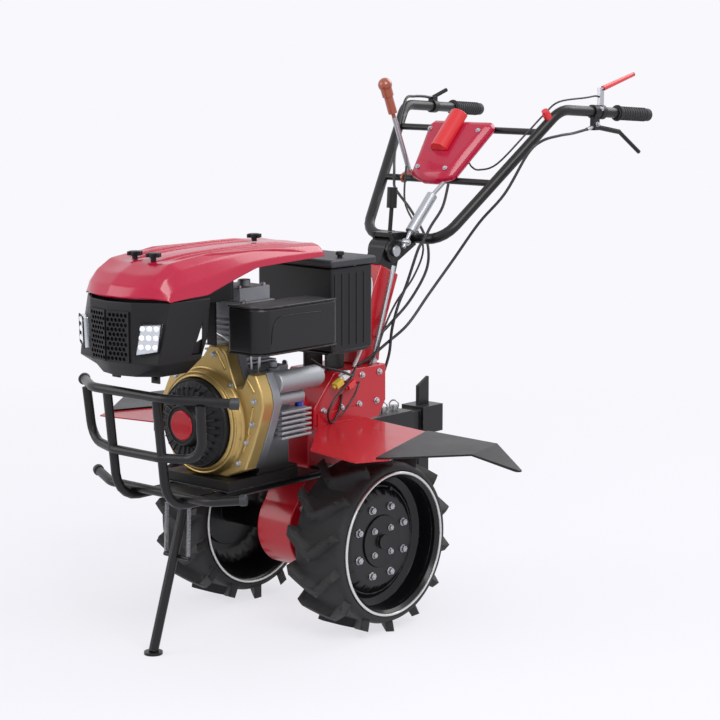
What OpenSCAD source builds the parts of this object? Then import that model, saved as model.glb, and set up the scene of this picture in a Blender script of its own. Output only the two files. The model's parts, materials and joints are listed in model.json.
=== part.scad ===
/* [Wheels] */
// Diameter over the tyre's lugs
tyre_od = 400; // [380:5:440]
// Width of the tyre
tyre_w = 140; // [110:5:150]
// Height of the lugs
lug_h = 21; // [14:1:26]
// Number of lugs on each side of the tread
lug_count = 14; // [10:1:18]
// Angle of the lugs to the axle
lug_angle = 38; // [25:1:50]
// Diameter over the rim's edge
rim_d = 320; // [290:5:330]
// Distance from the middle of the machine to the rim's outer edge
wheel_x = 280; // [265:5:320]
// Depth of the wheel disc behind the rim's outer edge
disc_inset = 40; // [25:1:60]
// Diameter of the drive shaft
shaft_d = 32; // [24:1:38]
// Running clearance of the drive shaft in its boss
shaft_gap = 0.1; // [0.05:0.05:0.5]

/* [Gearbox and column] */
// Width of the gearbox's lower case
case_w = 100; // [80:2:120]
// Diameter of the lower case around the drive shaft
case_d = 186; // [150:2:200]
// Width of the gearbox's upper box
box_w = 136; // [110:2:150]
// Height of the upper box's top face
box_top = 552; // [530:1:570]
// Width of the steering column
column_w = 66; // [50:1:80]
// Height of the handlebar's pivot
pivot_z = 803; // [790:1:820]
// Distance of the handlebar's pivot behind the axle
pivot_y = 289; // [280:1:300]
// Diameter of the pivot pin
pin_d = 16; // [10:1:20]
// Clearance around the pivot pin
pin_gap = 0.1; // [0.05:0.05:0.5]

/* [Engine] */
// Height of the crankshaft
crank_z = 482; // [470:1:495]
// Height of the engine bed's top
bed_z = 346; // [340:1:352]
// Plane between the fan shroud and the crankcase, ahead of the axle
gasket_y = -264; // [-275:1:-255]
// Depth of the fan shroud's rim
shroud_d = 34; // [20:1:45]
// Diameter of the recoil starter
recoil_d = 192; // [160:2:200]
// Diameter of the clutch housing
clutch_d = 186; // [150:2:200]
// Length of the muffler box
muffler_l = 236; // [200:2:260]
// Height of the muffler box
muffler_h = 100; // [80:1:110]

/* [Hood and lamps] */
// Half width of the hood at its front corners
hood_half = 128; // [118:1:140]
// Height of the hood's lower front edge
hood_z = 770; // [765:1:775]
// Thickness of the hood's sheet
hood_t = 4; // [3:0.5:6]
// Width of one grille cell across its flats
cell = 9; // [7:0.5:14]

/* [Battery] */
// Width of the battery box
battery_w = 224; // [190:2:240]
// Depth of the battery box, front to back
battery_d = 136; // [110:2:150]
// Height of the battery box
battery_h = 190; // [160:2:205]

/* [Bumper and stand] */
// Diameter of the bumper's tubes
bumper_d = 20; // [16:1:24]
// Half distance between the two frame rails
rail_x = 75; // [68:1:80]
// Diameter of the stand's leg
leg_d = 21; // [16:1:24]
// Height of the stand's pivot
stand_z = 316; // [308:1:318]
// Distance of the stand's pivot ahead of the axle
stand_y = -363; // [-375:1:-355]
// Distance of the stand's foot ahead of the axle
foot_y = -462; // [-480:1:-440]

/* [Fenders] */
// Height of the fender plate
fender_z = 436; // [425:1:445]
// Thickness of the fender plate
fender_t = 3; // [2:0.5:4]
// Distance from the middle of the machine to the fender's tip
wing_tip_x = 612; // [590:2:640]

/* [Handlebar] */
// Diameter of the handlebar's tube
bar_d = 25; // [20:1:30]
// Half distance between the grips
grip_x = 264; // [240:2:290]
// Length of a grip
grip_l = 122; // [100:1:130]
// Diameter of a grip
grip_d = 31; // [28:1:36]

/* [Depth bar] */
// Width of the depth bar, front to back
depth_bar_w = 38; // [30:1:42]
// Thickness of the depth bar
depth_bar_t = 10; // [6:1:14]
// Clearance of the depth bar in its socket
socket_gap = 0.6; // [0.3:0.1:1.5]
// Height of the depth bar's lower end at rest
depth_bar_low = 110; // [70:5:160]

/* [Hidden] */
$fn = 48;

// Colours
crimson = "#d2204a";
red = "#c8202c";
gold = "#b0965a";
black = "#26262a";
rubber = "#1c1c1e";
alloy = "#a9adb2";
steel = "#c4c7ca";

// Heights and places that several pieces share
axle_z = tyre_od / 2;
rim_in = wheel_x - tyre_w;
case_face = case_w / 2;
box_face = box_w / 2;
boss_end = case_face + 26;
tube_r = bumper_d / 2;
rail_z = bed_z - 4 - tube_r;
shroud_front = gasket_y - shroud_d;
hood_rear = -40;
tank_z = 752;
tank_top = 818;
battery_y = -20;
battery_z = 606;
socket_y = 427;
hitch_z = [368, 412];
hitch_y = 96;
plate_d = 22;
cylinder_y = gasket_y + plate_d + 0.5;

function unit(v) = v / norm(v);
function flip(p) = [-p[0], p[1], p[2]];

// A round rod from point a to point b
module rod(a, b, r) {
    d = b - a;
    translate(a)
        rotate([0, acos(d[2] / norm(d)), atan2(d[1], d[0])])
            cylinder(r = r, h = norm(d));
}

// The turn at corner i of a path, and the length that its bend takes off each leg
function turn_at(p, i) = acos(min(1, unit(p[i] - p[i - 1]) * unit(p[i + 1] - p[i])));
function trim_at(p, i, rb) = rb * tan(turn_at(p, i) / 2);

// Rings of a bend of radius rb at corner i, each [centre, direction]
function bend_rings(p, i, rb, steps) =
    let (
        u = unit(p[i] - p[i - 1]),
        v = unit(p[i + 1] - p[i]),
        n = unit(v - (u * v) * u),
        c = p[i] - u * trim_at(p, i, rb) + n * rb
    )
    [
        for (k = [0:steps])
            let (a = turn_at(p, i) * k / steps)
                [c + rb * (u * sin(a) - n * cos(a)), u * cos(a) + n * sin(a)]
    ];

// Rings along a path whose corners are bent to the radius rb
function path_rings(p, rb, steps) =
    let (last = len(p) - 1)
    [
        [p[0], unit(p[1] - p[0])],
        for (i = [1:last - 1]) each bend_rings(p, i, rb, steps),
        [p[last], unit(p[last] - p[last - 1])]
    ];

// A round tube through rings; across is a direction that no part of the tube follows
module swept(rings, r, sides, across) {
    n = len(rings);
    points = [
        for (g = rings)
            let (a = unit(cross(g[1], across)), b = cross(g[1], a))
                for (k = [0:sides - 1])
                    g[0] + r * (a * cos(k * 360 / sides) + b * sin(k * 360 / sides))
    ];
    polyhedron(points, [
        [for (k = [0:sides - 1]) k],
        for (i = [0:n - 2], k = [0:sides - 1])
            let (m = (k + 1) % sides)
                each [
                    [i * sides + k, (i + 1) * sides + k, i * sides + m],
                    [i * sides + m, (i + 1) * sides + k, (i + 1) * sides + m]
                ],
        [for (k = [sides - 1:-1:0]) (n - 1) * sides + k]
    ]);
}

// A tube along a path, with each corner bent to the radius rb
module bent_tube(p, r, rb, across) {
    swept(path_rings(p, rb, 5), r, 16, across);
}

// A plate drawn in the Y-Z plane and extruded along X from x0 to x1
module side_plate(x0, x1, outline) {
    translate([x0, 0, 0]) rotate([90, 0, 90]) linear_extrude(x1 - x0) polygon(outline);
}

// A plate drawn in the X-Z plane and extruded along Y from y0 back to y1
module front_plate(y0, y1) {
    translate([0, y1, 0]) rotate([90, 0, 0]) linear_extrude(y1 - y0) children();
}

// A round bar along X
module x_bar(x0, x1, y, z, r) {
    translate([x0, y, z]) rotate([0, 90, 0]) cylinder(r = r, h = x1 - x0);
}

// A round bar along Y
module y_bar(y0, y1, x, z, r1, r2) {
    translate([x, y0, z]) rotate([-90, 0, 0]) cylinder(r1 = r1, r2 = r2, h = y1 - y0);
}

// The same piece on both sides
module both_sides() {
    children();
    mirror([1, 0, 0]) children();
}

// Triangles of a skin between two neighbouring rows of m points, rows counted from row a
function skin(a, b, m, flip = false) = [
    for (j = [0:m - 2])
        each flip
            ? [[a + j, b + j, a + j + 1], [a + j + 1, b + j, b + j + 1]]
            : [[a + j, a + j + 1, b + j], [a + j + 1, b + j + 1, b + j]]
];

// A closed sheet between an outer and an inner grid of points, each a list of equal rows
module sheet(outer, inner) {
    rows = len(outer);
    m = len(outer[0]);
    points = [for (r = outer) each r, for (r = inner) each r];
    off = rows * m;
    faces = [
        for (i = [0:rows - 2]) each skin(i * m, (i + 1) * m, m),
        for (i = [0:rows - 2]) each skin(off + i * m, off + (i + 1) * m, m, true),
        each skin(0, off, m, true),
        each skin((rows - 1) * m, off + (rows - 1) * m, m),
        for (i = [0:rows - 2])
            each [
                [i * m, (i + 1) * m, off + i * m],
                [(i + 1) * m, off + (i + 1) * m, off + i * m],
                [i * m + m - 1, off + i * m + m - 1, (i + 1) * m + m - 1],
                [(i + 1) * m + m - 1, off + i * m + m - 1, off + (i + 1) * m + m - 1]
            ]
    ];
    polyhedron(points, faces);
}

// Wheels

module tyre() {
    r = tyre_od / 2;
    tread_r = r - lug_h;
    edge = rim_d / 2;
    half = tyre_w / 2;
    color(rubber)
        translate([rim_in, 0, axle_z]) rotate([0, 90, 0]) {
            rotate_extrude()
                polygon([
                    [edge - 8, 6.2], [edge + 0.4, 6.2], [edge + 3, 1], [tread_r - 6, 4], [tread_r, 16],
                    [tread_r, tyre_w - 16], [tread_r - 6, tyre_w - 4], [edge + 3, tyre_w - 1],
                    [edge + 0.4, tyre_w - 6.2], [edge - 8, tyre_w - 6.2]
                ]);
            intersection() {
                cylinder(r = r, h = tyre_w);
                for (side = [0, 1], i = [0:lug_count - 1])
                    rotate([0, 0, (i + side / 2) * 360 / lug_count])
                        translate([tread_r - 8, 0, side * half])
                            rotate([side == 0 ? -lug_angle : lug_angle, 0, 0])
                                translate([0, -9, side == 0 ? -14 : -half / 5])
                                    cube([lug_h + 12, 18, half * 1.28]);
            }
        }
}

module rim() {
    edge = rim_d / 2;
    seat = edge - 8;
    disc_x = tyre_w - disc_inset;
    color("#2a2a2e")
        translate([rim_in, 0, axle_z]) rotate([0, 90, 0])
            rotate_extrude()
                polygon([
                    [58, disc_x - 6], [96, disc_x - 6], [118, disc_x - 22], [seat - 24, disc_x - 30],
                    [seat - 4, 6], [edge - 4, 0], [edge, 2], [seat, 6],
                    [seat, tyre_w - 6], [edge, tyre_w - 3], [edge, tyre_w], [edge - 6, tyre_w],
                    [seat - 5, tyre_w - 8], [seat - 5, disc_x - 14], [seat - 20, disc_x - 24],
                    [120, disc_x - 18], [98, disc_x], [58, disc_x]
                ]);
}

module hub() {
    disc_x = wheel_x - disc_inset;
    color(black) {
        difference() {
            union() {
                x_bar(disc_x - 12, disc_x - 6, 0, axle_z, 84);
                x_bar(boss_end + 4, disc_x - 12, 0, axle_z, 30);
                x_bar(disc_x - 6, disc_x + 4, 0, axle_z, 58);
            }
            x_bar(boss_end, disc_x + 10, 0, axle_z, shaft_d / 2);
        }
        x_bar(case_face - 20, disc_x + 12, 0, axle_z, shaft_d / 2);
    }
}

module tyre_left() { tyre(); }
module tyre_right() { mirror([1, 0, 0]) tyre(); }
module rim_left() { rim(); }
module rim_right() { mirror([1, 0, 0]) rim(); }
module hub_left() { hub(); }
module hub_right() { mirror([1, 0, 0]) hub(); }

// Gearbox, clutch housing and column

module gearbox() {
    bore = shaft_d / 2 + shaft_gap;
    color(red)
        difference() {
            union() {
                x_bar(-case_face, case_face, 0, axle_z, case_d / 2);
                side_plate(-case_face, case_face, [
                    [-case_d / 2 + 4, axle_z + 26], [-30, 330], [-30, 440], [hitch_y, 440], [hitch_y, axle_z + 20],
                    [0, axle_z - 20]
                ]);
                side_plate(-box_face, box_face, [
                    [-30, 430], [-30, 478], [38, box_top], [214, box_top], [214, 468], [190, 430]
                ]);
                x_bar(-boss_end, boss_end, 0, axle_z, 44);
            }
            x_bar(case_face - 22, boss_end + 1, 0, axle_z, bore);
            x_bar(-boss_end - 1, 22 - case_face, 0, axle_z, bore);
        }
}

module clutch_housing() {
    color(red) {
        y_bar(-150, -128, 0, crank_z, clutch_d / 2, clutch_d / 2);
        y_bar(-128, -30, 0, crank_z, clutch_d / 2 - 16, 52);
    }
}

module column() {
    color(red)
        side_plate(-column_w / 2, column_w / 2, [
            [152, box_top], [158, 626], [238, 776], [300, 748], [238, 600], [232, box_top]
        ]);
}

module column_head() {
    color(black)
        difference() {
            union() {
                x_bar(-22, 22, pivot_y, pivot_z, 28);
                side_plate(-22, 22, [
                    [238, 776], [300, 748], [pivot_y + 27, pivot_z - 8], [pivot_y - 27, pivot_z + 8]
                ]);
            }
            x_bar(-23, 23, pivot_y, pivot_z, pin_d / 2);
        }
}

module pivot_pin() {
    color(steel) {
        x_bar(-37, 37, pivot_y, pivot_z, pin_d / 2);
        both_sides() x_bar(31, 37, pivot_y, pivot_z, pin_d / 2 + 5);
    }
}

module shift_rod() {
    color(steel) {
        rod([44, 196, box_top + 9], [50, 262, 772], 5);
        translate([44, 196, box_top]) cylinder(r = 9, h = 10);
    }
}

// Hitch

module hitch() {
    color(black)
        difference() {
            translate([-40, hitch_y, hitch_z[0] - 8])
                cube([80, 344 - hitch_y, hitch_z[1] - hitch_z[0] + 16]);
            translate([-26, 150, hitch_z[0]])
                cube([52, 200, hitch_z[1] - hitch_z[0]]);
            for (y = pin_ys) translate([0, y, hitch_z[0] - 9]) cylinder(r = 8, h = 70);
        }
}

pin_ys = [282, 322];

module drawbar() {
    w = depth_bar_w / 2 + socket_gap;
    t = depth_bar_t / 2 + socket_gap;
    color(black)
        difference() {
            union() {
                translate([-26, 160, hitch_z[0]]) cube([52, 230, hitch_z[1] - hitch_z[0]]);
                translate([-34, 390, hitch_z[0] - 14]) cube([68, 74, hitch_z[1] - hitch_z[0] + 22]);
            }
            translate([-t, socket_y - w, 0]) cube([2 * t, 2 * w, 600]);
            for (y = [pin_ys[0], pin_ys[1], 366])
                translate([0, y, hitch_z[0] - 1]) cylinder(r = 8, h = 70);
        }
}

module hitch_pins() {
    color(steel)
        for (y = pin_ys) {
            translate([0, y, hitch_z[0] - 20]) cylinder(r = 7.9, h = 84);
            translate([0, y, 432]) rotate([90, 0, 30]) rotate_extrude() translate([11, 0]) circle(2);
        }
}

// Frame

// Half paths of the bumper's tubes: wings, guard loop and low bar
wing_half = [[230, -440, 566], [112, -520, 572]];
loop_half = [[174, -482, 560], [168, -472, 446], [70, -502, 442]];
low_half = [[224, -410, 360], [150, -440, 350]];
rail_path = [[rail_x, -512, 568], [rail_x, -486, rail_z], [rail_x, 30, rail_z]];

module cross_tube(half, rb, across) {
    n = len(half) - 1;
    path = [for (i = [0:n]) half[i], for (i = [n:-1:0]) flip(half[i])];
    bent_tube(path, tube_r, rb, across);
}

module bumper() {
    color(black) {
        cross_tube(wing_half, 70, [0, 0, 1]);
        cross_tube(loop_half, 42, [0, 1, 0]);
        cross_tube(low_half, 60, [0, 0, 1]);
        both_sides() {
            bent_tube(rail_path, tube_r, 62, [1, 0, 0]);
            translate([case_face, -22, rail_z - 14]) cube([rail_x - case_face, 48, 28]);
        }
    }
}

module bed_plate() {
    color(black) translate([-100, -334, bed_z - 4]) cube([200, 290, 4]);
}

module stand_bracket() {
    top = bed_z - 4;
    color(black)
        difference() {
            union() {
                translate([-rail_x + tube_r, stand_y - 32, top - 12])
                    cube([2 * (rail_x - tube_r), 60, 12]);
                both_sides()
                    side_plate(20, 26, [
                        [stand_y - 20, top - 12], [stand_y - 14, stand_z - 14], [stand_y + 14, stand_z - 14],
                        [stand_y + 20, top - 12]
                    ]);
            }
            x_bar(-27, 27, stand_y, stand_z, 5 + pin_gap);
        }
}

// Stand

foot_t = 6;
spring_x = 34;
spring_low = [-389, 200];
spring_high = [-384, 312];

module stand_leg() {
    color(black) {
        rod([0, stand_y, stand_z], [0, foot_y, foot_t], leg_d / 2);
        x_bar(-18, 18, stand_y, stand_z, leg_d / 2);
        x_bar(-30, 30, stand_y, stand_z, 5);
        translate([0, foot_y, 0]) cylinder(r = 20, h = foot_t);
        x_bar(-spring_x - 4, spring_x + 4, spring_low[0], spring_low[1], 5);
    }
}

module stand_springs() {
    color(steel)
        both_sides()
            rod([spring_x, spring_low[0], spring_low[1] + 5.3], [spring_x, spring_high[0], spring_high[1]], 4.5);
}

// Engine

// Outline of the fan shroud across the machine, from the bottom and round by the left side
shroud_outline = [
    [-100, 384], [-60, 366], [62, 366], [118, 390], [140, 440], [158, 486], [172, 530], [166, 562],
    [148, 598], [128, 598], [110, 566], [92, 562], [78, 592], [62, 632], [40, 650], [12, 648],
    [-8, 622], [-60, 606], [-110, 575], [-138, 520], [-136, 450]
];

module crankcase() {
    color(alloy) {
        front_plate(gasket_y, gasket_y + plate_d) polygon(shroud_outline);
        translate([-104, gasket_y + plate_d, 372]) cube([208, -150 - gasket_y - plate_d, 226]);
        translate([-100, -330, bed_z]) cube([200, 214, 20]);
        translate([-98, gasket_y + plate_d, 366]) cube([196, -116 - gasket_y - plate_d, 8]);
    }
}

module fan_shroud() {
    color(gold)
        difference() {
            union() {
                front_plate(shroud_front, gasket_y) polygon(shroud_outline);
                y_bar(shroud_front - 26, shroud_front, 0, crank_z, 104, 114);
            }
            y_bar(shroud_front - 27, shroud_front, 0, crank_z, recoil_d / 2 + 0.5, recoil_d / 2 + 0.5);
        }
}

module recoil_starter() {
    r = recoil_d / 2;
    color(black) {
        y_bar(shroud_front - 36, shroud_front, 0, crank_z, r, r);
        y_bar(shroud_front - 52, shroud_front - 36, 0, crank_z, r - 24, r - 4);
        y_bar(shroud_front - 72, shroud_front - 52, 0, crank_z, 44, 48);
    }
}

module recoil_handle() {
    color(black) {
        rod([-124, shroud_front - 22, 448], [-124, shroud_front - 22, 520], 12);
        y_bar(shroud_front - 22, shroud_front, -124, 500, 7, 7);
    }
}

module cylinder_block() {
    fins = 9;
    pitch = 11;
    color(alloy) {
        translate([-46, cylinder_y + 6, 598]) cube([92, 88, 104]);
        for (i = [0:fins - 1])
            translate([-60, cylinder_y, 602 + i * pitch]) cube([120, 100, 4]);
        translate([-56, cylinder_y, 702]) cube([112, 100, 34]);
        x_bar(56, 106, cylinder_y + 50, 716, 19);
    }
}

module rocker_cover() {
    color("#6d7074") {
        translate([-46, cylinder_y + 4, 736]) cube([92, 92, 30]);
        translate([14, cylinder_y + 50, 766]) cylinder(r = 13, h = 14);
    }
}

module air_cleaner() {
    color(black) {
        translate([-150, -322, 690]) cylinder(r = 48, h = 60);
        translate([-150, -322, 660]) cylinder(r1 = 36, r2 = 48, h = 30);
        rod([-120, -290, 700], [-74, -212, 716], 12);
        x_bar(-80, -56, -212, 716, 15);
    }
}

module muffler_box() {
    r = 34;
    x0 = 106;
    x1 = 200;
    y0 = -335;
    color(black)
        translate([0, 0, 645]) {
            translate([x0, y0 + r, 0]) cube([x1 - x0, muffler_l - r, muffler_h]);
            translate([x0, y0, 0]) cube([x1 - x0 - r, r, muffler_h]);
            translate([x1 - r, y0 + r, 0]) cylinder(r = r, h = muffler_h);
        }
}

starter_at = [150, 574];

module starter_motor() {
    color("#8b8f94") {
        y_bar(gasket_y + plate_d, -112, starter_at[0], starter_at[1], 24, 24);
        y_bar(-112, -104, starter_at[0], starter_at[1], 18, 21);
        y_bar(gasket_y + plate_d, -150, starter_at[0] - 10, starter_at[1] - 38, 15, 15);
    }
}

module finned_cover() {
    color(alloy) {
        translate([104, -218, 446]) cube([34, 84, 62]);
        for (i = [0:5]) translate([104, -222, 448 + i * 11]) cube([50, 92, 5]);
    }
}

module oil_cap() {
    color("#2f4fd0") {
        translate([122, -136, 508]) cylinder(r = 9, h = 10);
        translate([122, -136, 518]) cylinder(r = 12, h = 9);
    }
}

// Fuel tank, hood and grille

module fuel_tank() {
    color(black) {
        translate([-88, -500, tank_z]) cube([176, 190, tank_top - tank_z]);
        translate([-60, -310, tank_z]) cube([120, 28, tank_top - tank_z]);
        both_sides() translate([60, -310, tank_z]) cylinder(r = 28, h = tank_top - tank_z);
        for (x = [12, -60]) translate([x, -304, x > 0 ? 650 : 607]) cube([24, 6, tank_z - (x > 0 ? 650 : 607)]);
        translate([-15, -282, tank_top - 4]) cube([30, 150, 4]);
        for (k = knob_places)
            translate([k[0], k[1], tank_top - 4])
                cylinder(r = 4, h = hood_at(k[0], k[1], hood_t) - 0.8 - tank_top + 4);
    }
}

// Sections of the hood from front to rear
// [y in the middle, how far its ends lie behind, half width, height of the edge, height of the top]
hood_sections = [
    [-574, 56, hood_half, hood_z, hood_z + 10],
    [-562, 50, hood_half, hood_z + 1, hood_z + 32],
    [-538, 40, hood_half, hood_z + 2, hood_z + 54],
    [-492, 20, hood_half, hood_z + 4, hood_z + 74],
    [-410, 0, hood_half, hood_z + 6, hood_z + 83],
    [-360, 0, hood_half - 2, hood_z + 22, hood_z + 86],
    [-258, 0, hood_half - 8, hood_z + 49, hood_z + 88],
    [-150, 0, hood_half - 12, hood_z + 52, hood_z + 87],
    [hood_rear, 0, hood_half - 17, hood_z + 54, hood_z + 82]
];
// Half profile of every section: [share of the half width, share of the height]
hood_profile = [[1, 0], [0.97, 0.4], [0.84, 0.84], [0.7, 1], [0.5, 0.96], [0.3, 0.94], [0, 1]];

function hood_row(s, t, drop) = [
    for (p = concat(hood_profile, [for (i = [len(hood_profile) - 2:-1:0]) [-hood_profile[i][0], hood_profile[i][1]]]))
        [
            (s[2] - t) * p[0],
            s[0] + s[1] * pow(p[0], 2) + drop,
            s[3] + (s[4] - t - s[3]) * p[1]
        ]
];

module hood() {
    color(crimson)
        sheet(
            [for (s = hood_sections) hood_row(s, 0, 0)],
            [for (i = [0:len(hood_sections) - 1]) hood_row(hood_sections[i], hood_t, i == 0 ? hood_t : 0)]
        );
}

// Height of the hood's outer skin at x, y, or of its inner skin with t its thickness
function hood_at(x, y, t = 0) =
    let (
        half = lookup(y, [for (s = hood_sections) [s[0], s[2]]]),
        low = lookup(y, [for (s = hood_sections) [s[0], s[3]]]),
        top = lookup(y, [for (s = hood_sections) [s[0], s[4]]]),
        share = lookup(abs(x) / half, [for (i = [len(hood_profile) - 1:-1:0]) hood_profile[i]])
    )
    low + (top - t - low) * share;

// [x, y] of the knobs that hold the hood
knob_places = [[28, -470], [-28, -470], [0, -146]];

module hood_knobs() {
    color(black)
        for (k = knob_places)
            translate([k[0], k[1], hood_at(k[0], k[1]) + 0.9]) {
                cylinder(r = 6, h = 8);
                translate([0, 0, 8]) cylinder(r = 11, h = 9);
                translate([0, 0, 8])
                    for (a = [0:60:300]) rotate([0, 0, a]) translate([12, 0, 0]) cylinder(r = 4.5, h = 8);
            }
}

// Levels of the grille housing: [z, face half width, face y, corner x, corner y, rear y]
housing_levels = [
    [614, 46, -546, 92, -508, -440],
    [645, 62, -564, 118, -546, -424],
    [690, 62, -564, 124, -534, -410],
    [hood_z - 0.3, 62, -564, hood_half - 1, -514, -404]
];
ridge = 12;

function housing_ring(l, inset) = [
    [l[3] - inset, l[5], l[0]],
    [l[3] - inset, l[4] + inset, l[0]],
    [l[1] - inset / 2, l[2] + inset, l[0]],
    [0, l[2] - ridge + inset, l[0]],
    [inset / 2 - l[1], l[2] + inset, l[0]],
    [inset - l[3], l[4] + inset, l[0]],
    [inset - l[3], l[5], l[0]]
];

module lamp_block(extra) {
    translate([92, -546, 700])
        rotate([0, 0, 32])
            rotate([90, 0, 0])
                translate([0, 0, -12])
                    linear_extrude(24 + extra)
                        polygon([[-24, -36], [22, -28], [30, 28], [-12, 26]]);
}

module grille_housing() {
    color(black)
        difference() {
            union() {
                sheet(
                    [for (l = housing_levels) housing_ring(l, 0)],
                    [for (l = housing_levels) housing_ring(l, 5)]
                );
                translate([-60, -500, 668]) cube([120, 5, tank_z - 668]);
            }
            both_sides() lamp_block(0);
            both_sides() side_plate(100, 130, [[-452, 655], [-424, 655], [-424, 722]]);
        }
}

module grille() {
    nx = 5;
    nz = 10;
    color("#3a3a3e")
        both_sides()
            translate([2, -564 - ridge + 2 * ridge / 62 - 0.2, 646]) rotate([0, 0, atan2(ridge, 62)])
                rotate([90, 0, 0])
                    linear_extrude(4)
                        difference() {
                            square([56, nz * cell * 1.1 + 6]);
                            for (i = [0:nx - 1], j = [0:nz - 1])
                                translate([(i + 0.75 + (j % 2) / 2) * cell * 1.1 - 3, (j + 0.75) * cell * 1.1])
                                    circle(r = cell / 2, $fn = 6);
                        }
}

module headlamps() {
    color("#dfe3e8") both_sides() lamp_block(0);
}

// Battery

module battery_tray() {
    w = battery_w - 20;
    color(black) {
        translate([-w / 2, battery_y, battery_z - 5]) cube([w, battery_d, 5]);
        both_sides() translate([30, 46, box_top]) cube([6, 60, battery_z - 5 - box_top]);
    }
}

module battery_box() {
    color(black)
        translate([-battery_w / 2, battery_y, battery_z]) cube([battery_w, battery_d, battery_h]);
}

module battery_lid() {
    lip = 7;
    color("#3c3f44")
        translate([-battery_w / 2 - lip, battery_y - lip, battery_z + battery_h])
            cube([battery_w + 2 * lip, battery_d + 2 * lip, 18]);
}

// Fenders

// Plan of the left fender: [x, y]
fender_plan = [[box_face, -20], [239, -225], [392, -255], [427, -187], [320, 87], [box_face, 130]];
// Plan of the left wing: [x, y]
wing_plan = [[404, -205], [427, -187], [532, -49], [500, 76], [320, 87], [300, 84]];

module fender() {
    color(red) {
        translate([0, 0, fender_z]) linear_extrude(fender_t) polygon(fender_plan);
        translate([box_face, -20, fender_z]) cube([fender_t, 150, 30]);
    }
}

module wing() {
    z = fender_z + fender_t;
    color(black) {
        translate([0, 0, z]) linear_extrude(4) polygon(wing_plan);
        hull() {
            translate([532, -49, z]) cylinder(r = 1, h = 4);
            translate([500, 76, z]) cylinder(r = 1, h = 4);
            translate([wing_tip_x - 12, 20, z - 34]) cylinder(r = 8, h = 3);
        }
    }
}

module fender_left() { fender(); }
module fender_right() { mirror([1, 0, 0]) fender(); }
module wing_left() { wing(); }
module wing_right() { mirror([1, 0, 0]) wing(); }

// Handlebar

bar_r = bar_d / 2;
cross_r = 8;
// Half path of the handlebar: grip's end, upper bend, lower corner
bar_half = [[grip_x, 968, 1102], [240, 643, 1124], [118, 355, 829]];
bar_slope = unit(bar_half[1] - bar_half[2]);

// Point on the left arm at distance y behind the axle
function arm_at(y) = bar_half[1] + (bar_half[0] - bar_half[1]) * (y - bar_half[1][1]) / (bar_half[0][1] - bar_half[1][1]);

// Point on the left upright at height z
function upright_at(z) = bar_half[2] + (bar_half[1] - bar_half[2]) * (z - bar_half[2][2]) / (bar_half[1][2] - bar_half[2][2]);

module handle_bar() {
    path = [bar_half[0], bar_half[1], bar_half[2], flip(bar_half[2]), flip(bar_half[1]), flip(bar_half[0])];
    low = upright_at(956);
    high = upright_at(1072);
    color(black) {
        bent_tube(path, bar_r, 62, [0, 0, 1]);
        rod(flip(low), low, cross_r);
        rod(flip(high), high, cross_r);
    }
}

module handle_bracket() {
    color(black)
        difference() {
            union() {
                both_sides() {
                    x_bar(23.2, 30, pivot_y, pivot_z, 27);
                    side_plate(23.2, 30, [
                        [pivot_y - 10, pivot_z + 25], [pivot_y + 10, pivot_z - 25], [366, 812], [350, 843],
                        [pivot_y - 12, pivot_z + 42]
                    ]);
                }
                translate([-30, pivot_y - 10, pivot_z + 32]) cube([60, 40, 10]);
            }
            x_bar(-31, 31, pivot_y, pivot_z, pin_d / 2 + pin_gap);
            x_bar(-60, 60, bar_half[2][1], bar_half[2][2], bar_r);
        }
}

module clamp_lever() {
    color(black) rod([0, 312, 900], [0, 315, 948], 12);
    color(steel) rod([0, 306, pivot_z + 43], [0, 312, 900], 5);
}

// Place things on the handlebar's sloping plane, measured from the low cross bar
module on_slope(lift = 0) {
    at = upright_at(956);
    tilt = atan2(bar_slope[2], bar_slope[1]);
    translate([0, at[1], at[2]]) rotate([tilt, 0, 0]) translate([0, 0, lift]) children();
}

module control_panel() {
    color(crimson)
        on_slope(8)
            hull() {
                linear_extrude(14) polygon([
                    [-66, -6], [-20, -24], [20, -24], [66, -6], [98, 150], [88, 168], [-88, 168], [-98, 150]
                ]);
                linear_extrude(30) polygon([
                    [-50, 4], [-16, -8], [16, -8], [50, 4], [80, 140], [70, 152], [-70, 152], [-80, 140]
                ]);
            }
}

module panel_barrel() {
    color(red)
        on_slope(38)
            intersection() {
                translate([-6, 60, 2]) rotate([-90, 0, 0]) cylinder(r = 24, h = 112);
                translate([-40, 50, 0]) cube([80, 130, 40]);
            }
}

module gear_lever() {
    foot = [-104, 500, 968];
    knee = [-112, 446, 1112];
    tip = [-118, 424, 1180];
    low = upright_at(956);
    color(steel) rod(foot, knee, 5);
    color("#a5552e") {
        rod(knee, knee + (tip - knee) * 0.6, 11);
        translate(tip) sphere(r = 17);
        rod(knee + (tip - knee) * 0.6, tip, 14);
    }
    color(black)
        difference() {
            hull() {
                translate(foot) rotate([0, 90, 0]) cylinder(r = 9, h = 6, center = true, $fn = 32);
                translate([foot[0], low[1], low[2]]) rotate([0, 90, 0]) cylinder(r = 12, h = 6, center = true, $fn = 32);
            }
            rod(flip(low), low, cross_r);
        }
}

module shift_sleeve() {
    color("#7d858d") rod([48, 402, 926], [48, 324, 846], 13);
    color(steel) {
        rod([48, 324, 846], [50, 296, 812], 5);
        difference() {
            rod([44, 466, 964], [48, 402, 926], 5);
            on_slope(8) translate([-66, -24, 0]) cube([132, 100, 40]);
        }
    }
}

module grips() {
    along = unit(bar_half[0] - bar_half[1]);
    color(rubber)
        both_sides()
            difference() {
                rod(bar_half[0] - along * grip_l, bar_half[0] + along * 5, grip_d / 2);
                rod(bar_half[0] - along * (grip_l + 1), bar_half[0], bar_r);
            }
}

// A ring clamped on the left arm around the point at y
module arm_clamp(y, w, wall) {
    along = unit(bar_half[0] - bar_half[1]);
    rod(arm_at(y) - along * w / 2, arm_at(y) + along * w / 2, bar_r + wall);
}

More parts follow.
